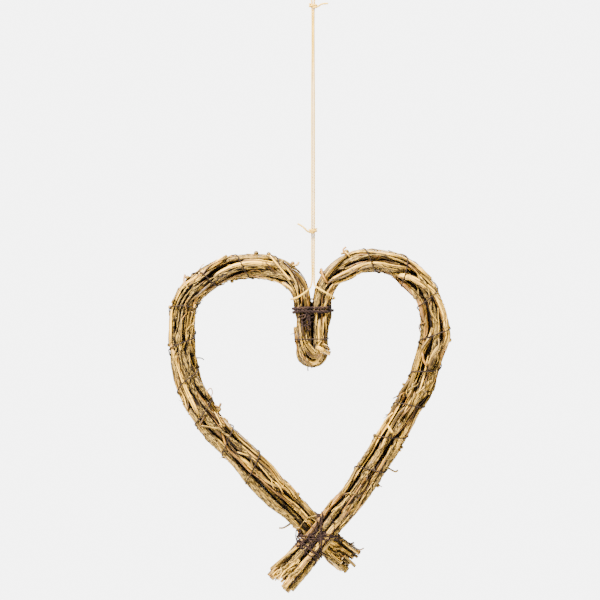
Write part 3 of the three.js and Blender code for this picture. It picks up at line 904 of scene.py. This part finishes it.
class WreathSizes(bpy.types.PropertyGroup):
    """Thicknesses of what the stems are bound with."""

    twine: a_length("Twine", "Thickness of one strand of twine", 0.0018)
    wire: a_length("Wire", "Thickness of the binding wire", 0.0013)
    tie: a_length("Tie", "Thickness of the cord in the cleft", 0.0031)
    lashing: a_length("Lashing", "Thickness of each strand at the crossing", 0.0013)


class WreathColours(bpy.types.PropertyGroup):
    """Colours of the materials."""

    straw: a_colour("Straw", "Skin of the smooth pale stems", (0.84, 0.455, 0.042))
    orange: a_colour("Orange", "Skin of the thin brown stems", (0.36, 0.155, 0.015))
    bark_skin: a_colour("Bark stem", "Skin of the stems that keep their bark", (0.54, 0.295, 0.032))
    bark: a_colour("Bark", "The bark itself", (0.27, 0.158, 0.026))
    wire: a_colour("Wire", "Coating of the binding wire", (0.012, 0.006, 0.0025))
    tie: a_colour("Tie", "Cord in the cleft and at the crossing", (0.021, 0.0115, 0.0095))
    twine: a_colour("Twine", "Jute twine", (0.74, 0.43, 0.028))
    floor: a_colour("Floor", "Studio floor", (0.86, 0.86, 0.85))


class WreathStage(bpy.types.PropertyGroup):
    """Camera and light."""

    distance: a_length("Camera distance", "From the camera to the wreath's middle plane", 4.0)
    key: bpy.props.FloatProperty(name="Key light", description="Power of the light from the upper left",
                                 default=680.0, min=0.0, unit="POWER")
    sky: bpy.props.FloatProperty(name="Surround", description="How much light the white surround gives",
                                 default=0.08, min=0.0, max=4.0, subtype="FACTOR")
    backdrop: bpy.props.FloatProperty(name="Backdrop", description="How bright the surround looks",
                                      default=6.0, min=0.0, max=20.0, subtype="FACTOR")


def deselect():
    bpy.ops.object.select_all(action="DESELECT")


def stem_materials(colours):
    made = {}
    for kind, skin in (("straw", colours.straw), ("orange", colours.orange), ("bark", colours.bark_skin)):
        name = f"rattan_{kind}"
        made[kind] = bpy.data.materials.get(name) or stem_finish(name, skin, colours.bark)
    return made


def keep(piles, context, label):
    """Makes a piece of each pile of stems, by kind."""
    materials = stem_materials(context.scene.wreath_colours)
    for kind, pile in piles.items():
        if pile.count:
            piece = pile.piece(f"{label}_{kind}", materials[kind])
            Work.pieces.append((pile, piece))


def empty_piles():
    return {kind: Pile() for kind in KINDS}


class WREATH_OT_stage(bpy.types.Operator):
    """Adds the floor, the soft lights and the camera"""

    bl_idname = "wreath.stage"
    bl_label = "Stage"

    def execute(self, context):
        stage = context.scene.wreath_stage
        deselect()
        x, z = PICTURE_MIDDLE
        bpy.ops.object.camera_add(location=(x, -stage.distance, z), rotation=(math.pi / 2, 0, 0))
        camera = context.object
        camera.data.sensor_width = SENSOR
        camera.data.lens = SENSOR * stage.distance / PICTURE_WIDTH
        camera.data.clip_end = 50
        context.scene.camera = camera
        deselect()
        bpy.ops.mesh.primitive_cylinder_add(vertices=96, radius=0.9, depth=0.02, location=(0, 0, -0.81))
        floor = context.object
        floor.name = "studio_floor"
        bevel = floor.modifiers.new("edge", "BEVEL")
        bevel.width, bevel.segments = 0.006, 3
        bpy.ops.object.modifier_apply(modifier=bevel.name)
        bpy.ops.object.transform_apply(location=True, rotation=True, scale=True)
        bpy.ops.object.shade_smooth_by_angle(angle=math.radians(40))
        floor.data.materials.append(plain_finish("floor_paint", context.scene.wreath_colours.floor))
        for place, size, share in LIGHTS:
            deselect()
            bpy.ops.object.light_add(type="AREA", location=place)
            light = context.object
            light.data.size = size
            light.data.energy = stage.key * share
            aim = Vector(LIGHTS_AIM) - Vector(place)
            light.rotation_euler = aim.to_track_quat("-Z", "Y").to_euler()
        world = bpy.data.worlds.new("white_surround")
        world.use_nodes = True
        tree = world.node_tree
        tree.nodes.clear()
        path = tree.nodes.new("ShaderNodeLightPath")
        choice = tree.nodes.new("ShaderNodeMixShader")
        for socket, strength in ((1, stage.sky), (2, stage.backdrop)):
            background = tree.nodes.new("ShaderNodeBackground")
            background.inputs["Color"].default_value = (1.0, 1.0, 1.0, 1.0)
            background.inputs["Strength"].default_value = strength
            tree.links.new(background.outputs[0], choice.inputs[socket])
        tree.links.new(path.outputs["Is Camera Ray"], choice.inputs[0])
        tree.links.new(choice.outputs[0], tree.nodes.new("ShaderNodeOutputWorld").inputs["Surface"])
        context.scene.world = world
        return {"FINISHED"}


class WREATH_OT_twine(bpy.types.Operator):
    """Adds the jute twine, its two knots and its loose fibres"""

    bl_idname = "wreath.twine"
    bl_label = "Twine"

    def execute(self, context):
        thick = context.scene.wreath_sizes.twine / MM
        material = twine_finish("jute_twine", context.scene.wreath_colours.twine)
        route = curve_through(TWINE_DOWN + TWINE_UP, 0.6)
        pile, loose = Pile(), Pile()
        twine_strand(pile, route, thick, 3)
        strand = pile.piece("jute_strand", material)
        hairs(loose, route, thick / 2, 420, 5, (1.5, 5.5), 0.04)
        for number, (name, (y, z, side, tail)) in enumerate(KNOTS.items()):
            turned = np.linspace(0, KNOT_TURNS, KNOT_STEPS + 1)
            wide, deep = STRAND + thick + 0.75, thick + 0.8
            wraps = np.column_stack([-side * wide * np.cos(2 * np.pi * turned),
                                     y + deep * np.sin(2 * np.pi * turned), z - KNOT_PITCH * turned])
            ends = np.array([(side * dx, y + dy, z + dz) for dx, dy, dz in tail])
            path = curve_through(np.vstack([wraps, ends]), 0.5)
            knot = Pile()
            twine_strand(knot, path, thick, 11 + number)
            hairs(loose, path, thick / 2, 60, 13 + number, (1.5, 4.5), 0.04)
            piece = knot.piece(f"{name}_wraps", material)
            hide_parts(name)
        fibres = loose.piece("jute_fibres", material)
        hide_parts("hanging_twine")
        path = [tuple(point) for point in (even(route, 3.0) * MM).tolist()]
        return {"FINISHED"}


class WREATH_OT_stems(bpy.types.Operator):
    """Adds the ten long stems on the lines of the CAD's"""

    bl_idname = "wreath.stems"
    bl_label = "Long stems"

    def execute(self, context):
        materials = stem_materials(context.scene.wreath_colours)
        rows = []
        for number in range(1, len(STEM_DIAMETERS) + 1):
            row = cad_middle(f"rattan_stem_{number}", STEM_SIDES)
            rows.append(row if row[0, 0] > row[-1, 0] else row[::-1])
        Work.bundle = Bundle(rows)
        for number, (row, diameter, kind) in enumerate(zip(rows, STEM_DIAMETERS, STEM_KINDS), 1):
            route = curve_through(row, 1.3)
            s = lengths_of(route)
            for axis in range(3):
                route[:, axis] += 0.35 * drift_along(s, number * 7 + axis, 33)
            route = squeezed(route)
            Work.bed.put(route, diameter / 2, base=True)
            pile = Pile()
            stem(pile, route, diameter, kind, 100 + number, sides=12)
            piece = pile.piece(f"long_stem_{number}", materials[kind])
            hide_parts(f"rattan_stem_{number}")
            Work.pieces.append((pile, piece))
        Work.bed.settle()
        return {"FINISHED"}


class WREATH_OT_side_stems(bpy.types.Operator):
    """Adds the thinner stems at the back, along the edges and in the cleft"""

    bl_idname = "wreath.side_stems"
    bl_label = "Side and back stems"

    def execute(self, context):
        rng = np.random.default_rng(41)
        piles = empty_piles()
        total = Work.bundle.s[-1]
        for number in range(SIDE_STEMS):
            length = rng.uniform(110, 300)
            start = rng.uniform(30, total - 30 - length)
            quarter = rng.integers(0, 4)
            edge = quarter > 1
            angle = (-math.pi / 2, -math.pi / 2, 0.0, math.pi)[quarter] + rng.uniform(-0.6, 0.6)
            diameter = rng.uniform(1.4, 2.2) if edge else rng.uniform(2.0, 4.4)
            kind = rng.choice(list(KINDS), p=[0.42, 0.22, 0.36])
            s = np.arange(start, start + length, 1.3)
            if math.cos(angle) > 0 and Work.bundle.beside_itself(s):
                continue
            middle, outward = Work.bundle.at(s, angle + 0.45 * drift_along(s, 200 + number, 80))
            lay_stem(piles, middle, outward, diameter, kind, 300 + number, 8, diameter,
                     bridge=3, sunk=1.5 if edge else 0.6, above=24.0)
        for number, (x, behind, diameter) in enumerate(CLEFT_STEMS):
            route = curve_through(from_picture([(x, 302), (x + 0.8, 318), (x - 0.6, 334), (x, 350)]), 1.3)
            route[:, 1] = behind + 1.5 * drift_along(lengths_of(route), 270 + number, 20)
            Work.bed.put(route, diameter / 2)
            stem(piles["bark"], route, diameter, "bark", 280 + number, sides=10)
        keep(piles, context, "side_stems")
        return {"FINISHED"}


class WREATH_OT_front_stems(bpy.types.Operator):
    """Adds the stems that the photograph shows in front"""

    bl_idname = "wreath.front_stems"
    bl_label = "Front stems"

    def execute(self, context):
        piles = empty_piles()
        for number, (diameter, kind, pixels) in enumerate(FRONT_STEMS):
            route = curve_through(from_picture(pixels), 1.2)
            diameter *= FRONT_SHARE
            lay_stem(piles, route, FRONT, diameter, kind, 500 + number, 12, diameter * 1.1,
                     bridge=5, sunk=0.2)
        rng = np.random.default_rng(77)
        for number, (diameter, kind, pixels) in enumerate(FRONT_STEMS):
            line = curve_through(from_picture(pixels), 1.2)
            for side in (-1, 1, -1, 1):
                first, last = np.sort(rng.uniform(0, 1, 2))
                part = line[int(first * 0.4 * len(line)):int((0.6 + last * 0.4) * len(line))]
                if diameter < 3.4 or len(part) < 24:
                    continue
                away = np.cross(unit(np.gradient(part, axis=0)), FRONT) * side
                offset = diameter * 0.45 + rng.uniform(0.2, 1.4)
                offset = offset + 0.9 * drift_along(lengths_of(part), number, 30)
                thin, kind = rng.uniform(1.2, 2.3), rng.choice(["orange", "bark", "straw"])
                part = part + away * offset[:, None]
                if (lengths_across(part - Work.bundle.nearest(part)) > COMPANION_REACH).any():
                    continue
                seed = 1200 + number * 4 + side
                lay_stem(piles, part, FRONT, thin, kind, seed, 8, thin, bridge=1, sunk=0.8)
        keep(piles, context, "front_stems")
        return {"FINISHED"}


class WREATH_OT_slivers(bpy.types.Operator):
    """Adds thin stems and slivers of bark between the others, and the split ends of both tails"""

    bl_idname = "wreath.slivers"
    bl_label = "Slivers and split ends"

    def execute(self, context):
        rng = np.random.default_rng(57)
        piles = empty_piles()
        total = Work.bundle.s[-1]
        sorts = [sort for sort, (count, *_) in SLIVERS.items() for _ in range(count)]
        for number, sort in enumerate(sorts):
            _, lengths, thicknesses, step, (swing, wave), shares, (sunk, sunk_at_edge) = SLIVERS[sort]
            thin, flake = sort == "thin stem", sort == "flake"
            length = rng.uniform(*lengths)
            start = rng.uniform(25, total - 25 - length)
            angle = rng.normal(math.pi / 2, 0.75) if rng.random() < 0.72 else rng.uniform(0, 2 * math.pi)
            if flake and rng.random() < 0.7:
                angle = rng.choice([0.0, math.pi]) + rng.normal(0, 0.4)
            diameter = rng.uniform(*thicknesses)
            kind = rng.choice(list(KINDS), p=shares)
            s = np.arange(start, start + length, step)
            if (thin or math.cos(angle) > 0) and Work.bundle.beside_itself(s):
                continue
            middle, outward = Work.bundle.at(s, angle + swing * drift_along(s, 900 + number, wave))
            if abs(math.sin(angle)) < 0.75:
                sunk = sunk_at_edge
                diameter *= EDGE_FLAKE_SHARE if flake else 1
            route = Work.bed.lay(middle, outward, diameter / 2, bridge=2, sunk=sunk, above=24.0)
            route = soften(route, 3)
            if thin:
                route = sink_ends(route, outward, diameter)
                Work.bed.put(route, diameter / 2)
            else:
                lift = np.linspace(0, 1, len(route)) ** 3 * rng.exponential(0.8)
                route = route + outward * np.minimum(lift, 4.0)[:, None]
            stem(piles[kind], route, diameter, kind, 1500 + number, sides=7, knuckles=thin, taper=0.3)
        for end, sign in ((0, -1), (-1, 1)):
            tip = Work.bundle.line[end]
            along = unit(Work.bundle.line[end] - Work.bundle.line[25 if end == 0 else -26])
            side = unit(np.cross(along, FRONT))
            for number in range(TAIL_SPLITS):
                around, far = rng.uniform(0, 2 * math.pi), rng.uniform(0.62, 1.06)
                offset = (side * math.cos(around) + FRONT * math.sin(around)) * TAIL_RADIUS * far
                back, ahead = rng.uniform(10, 36), rng.uniform(-14, 5)
                w = np.linspace(0, 1, 26)[:, None]
                bend = (side * rng.normal(0, 2.8) + FRONT * rng.normal(0, 2.0)) * w * w
                bend = bend + side * 0.9 * np.sin(w * rng.uniform(3, 9) + number)
                route = tip + offset * (0.86 + 0.16 * w) + along * (-back + (back + ahead) * w) + bend
                kind = rng.choice(list(KINDS), p=[0.6, 0.15, 0.25])
                thick = rng.uniform(0.6, 1.6) if number % 3 else rng.uniform(1.8, 3.4)
                stem(piles[kind], route, thick, kind, 2400 + number * 2 + sign, sides=8)
        keep(piles, context, "slivers")
        return {"FINISHED"}


class WREATH_OT_twigs(bpy.types.Operator):
    """Adds the curling tendrils, the stubs of cut twigs and the knobs"""

    bl_idname = "wreath.twigs"
    bl_label = "Twigs and knobs"

    def execute(self, context):
        piles = empty_piles()
        for number, (diameter, pixels) in enumerate(TENDRILS):
            route = twig_route(pixels, diameter, -0.4, 2.5)
            thick = diameter * TENDRIL_GROWTH
            stem(piles["orange"], route, thick, "orange", 700 + number, sides=8, knuckles=False, taper=0.2)
        for number, (diameter, pixels) in enumerate(STUBS):
            route = twig_route(pixels, diameter, 0.0, diameter)
            kind = "straw" if number % 3 else "orange"
            stem(piles[kind], route, diameter, kind, 740 + number, sides=10, knuckles=False)
        across = np.linspace(-0.5, 0.5, 9)
        for number, (diameter, pixel, in_front) in enumerate(KNOBS):
            ball = diameter / 2 * np.sqrt(np.maximum(1 - (across * 1.96) ** 2, 0.03))
            aim = from_picture([pixel])[0] + FRONT * in_front
            seat = Work.bed.nearest(aim)
            seat = seat + unit(aim - seat) * KNOB_SEAT * diameter
            route = seat + across[:, None] * diameter * np.array([[0.5, 0.3, 0.8]])
            sweep(piles["straw"], route, ball, 10, cut_ends=False, tone=-0.6, bark=0.35, shift=number * 19.0)
        keep(piles, context, "twigs")
        return {"FINISHED"}


class WREATH_OT_wires(bpy.types.Operator):
    """Adds the binding wires round both halves and the thin wire in the cleft"""

    bl_idname = "wreath.wires"
    bl_label = "Binding wires"

    def execute(self, context):
        thick = context.scene.wreath_sizes.wire / MM
        material = wire_finish("brown_wire", context.scene.wreath_colours.wire)
        for number, name in enumerate(("left_binding_wire", "right_binding_wire", "cleft_wire")):
            route = curve_through(cad_middle(name, WIRE_SIDES), 0.9)
            if name == "cleft_wire":
                middles = np.broadcast_to(route.mean(axis=0), route.shape)
            else:
                middles = Work.bundle.nearest(route)
            route = wrapped(route, soften(middles, 6), thick / 2, WIRE_SLACK)
            pile = Pile()
            s = lengths_of(route)
            sweep(pile, route, thick / 2 * (1 + 0.06 * drift_along(s, number, 6)), 10, shift=number * 400.0)
            piece = pile.piece(f"{name}_coated", material)
            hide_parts(name)
        return {"FINISHED"}


class WREATH_OT_ties(bpy.types.Operator):
    """Adds the dark cord in the cleft and the lashing at the crossing"""

    bl_idname = "wreath.ties"
    bl_label = "Ties"

    def execute(self, context):
        sizes = context.scene.wreath_sizes
        material = cord_finish("dark_cord", context.scene.wreath_colours.tie)
        thicknesses = (sizes.tie / MM, sizes.lashing / MM)
        for number, (name, (plies, places, stray, slack, curls)) in enumerate(TIES.items()):
            thick = thicknesses[number]
            route = curve_through(cad_middle(name, TIE_SIDES), 0.8)
            middles = np.broadcast_to(route.mean(axis=0), route.shape)
            s = lengths_of(route)
            outward = unit(route - middles)
            across = unit(np.cross(np.gradient(route, axis=0), outward))
            pile = Pile()
            rng = np.random.default_rng(60 + number)
            for strand, place in enumerate(places):
                shifted = place + stray * drift_along(s, 50 + strand, 23)
                path = route + across * (shifted + 0.5 * drift_along(s, 70 + strand, 9))[:, None]
                path = wrapped(path, middles, thick / 2, slack, 45.0, 3) + outward * rng.uniform(-0.3, 0.9)
                plied(pile, soften(path, 2), thick / 2, plies, 60 + number * 9 + strand * 3)
                hairs(pile, path, thick / 2, 46, 80 + number + strand, (1.5, 5.0), 0.07)
            count, x, y, spread = curls
            for curl in range(count):
                turn = rng.uniform(0, 2 * math.pi) + np.cumsum(rng.normal(0, 0.5, 14))
                steps = np.cumsum(1.4 * np.column_stack([np.cos(turn), np.sin(turn)]), axis=0)
                pixels = np.array([rng.normal(x, spread), rng.normal(y, spread)]) + steps - steps.mean(axis=0)
                path = curve_through(from_picture(pixels), 0.8)
                path = rooted(Work.bed.lay(path, FRONT, 0.5, bridge=3, sunk=rng.uniform(-2.5, 0.0)))
                sweep(pile, path, rng.uniform(0.35, 0.7), 7, shift=curl * 41.0)
            piece = pile.piece(f"{name}_cord", material)
            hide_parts(name)
        return {"FINISHED"}


class WREATH_OT_gaps(bpy.types.Operator):
    """Paints shade into the stems' colour where others hide them"""

    bl_idname = "wreath.gaps"
    bl_label = "Dark gaps"

    def execute(self, context):
        for pile, piece in Work.pieces:
            # Painted shade from how hidden each point is.
            painted_gap_shade = painted_gap_shade_of(pile, Work.bed.trees())
            piece.data.attributes["painted_gap_shade"].data.foreach_set("value", painted_gap_shade.astype(np.float32))
        return {"FINISHED"}


class WREATH_PT_panel(bpy.types.Panel):
    """Lists the steps and what can be changed"""

    bl_label = "Rattan heart wreath"
    bl_idname = "WREATH_PT_panel"
    bl_space_type = "VIEW_3D"
    bl_region_type = "UI"
    bl_category = "Wreath"

    def draw(self, context):
        scene = context.scene
        for group in (scene.wreath_sizes, scene.wreath_colours, scene.wreath_stage):
            box = self.layout.box()
            for key in group.__annotations__:
                box.prop(group, key)
        for operator in STEPS:
            self.layout.operator(operator.bl_idname)


GROUPS = {"wreath_sizes": WreathSizes, "wreath_colours": WreathColours, "wreath_stage": WreathStage}
STEPS = (WREATH_OT_stage, WREATH_OT_twine, WREATH_OT_stems, WREATH_OT_side_stems, WREATH_OT_front_stems,
         WREATH_OT_slivers, WREATH_OT_twigs, WREATH_OT_wires, WREATH_OT_ties, WREATH_OT_gaps)


def register():
    for group in (*GROUPS.values(), *STEPS, WREATH_PT_panel):
        bpy.utils.register_class(group)
    for name, group in GROUPS.items():
        setattr(bpy.types.Scene, name, bpy.props.PointerProperty(type=group))


def unregister():
    for name in GROUPS:
        delattr(bpy.types.Scene, name)
    for group in reversed((*GROUPS.values(), *STEPS, WREATH_PT_panel)):
        bpy.utils.unregister_class(group)


def main():
    register()
    bpy.ops.wreath.stage()
    bpy.ops.wreath.twine()
    bpy.ops.wreath.stems()
    bpy.ops.wreath.side_stems()
    bpy.ops.wreath.front_stems()
    bpy.ops.wreath.slivers()
    bpy.ops.wreath.twigs()
    bpy.ops.wreath.wires()
    bpy.ops.wreath.ties()
    bpy.ops.wreath.gaps()


if __name__ == "__main__":
    main()
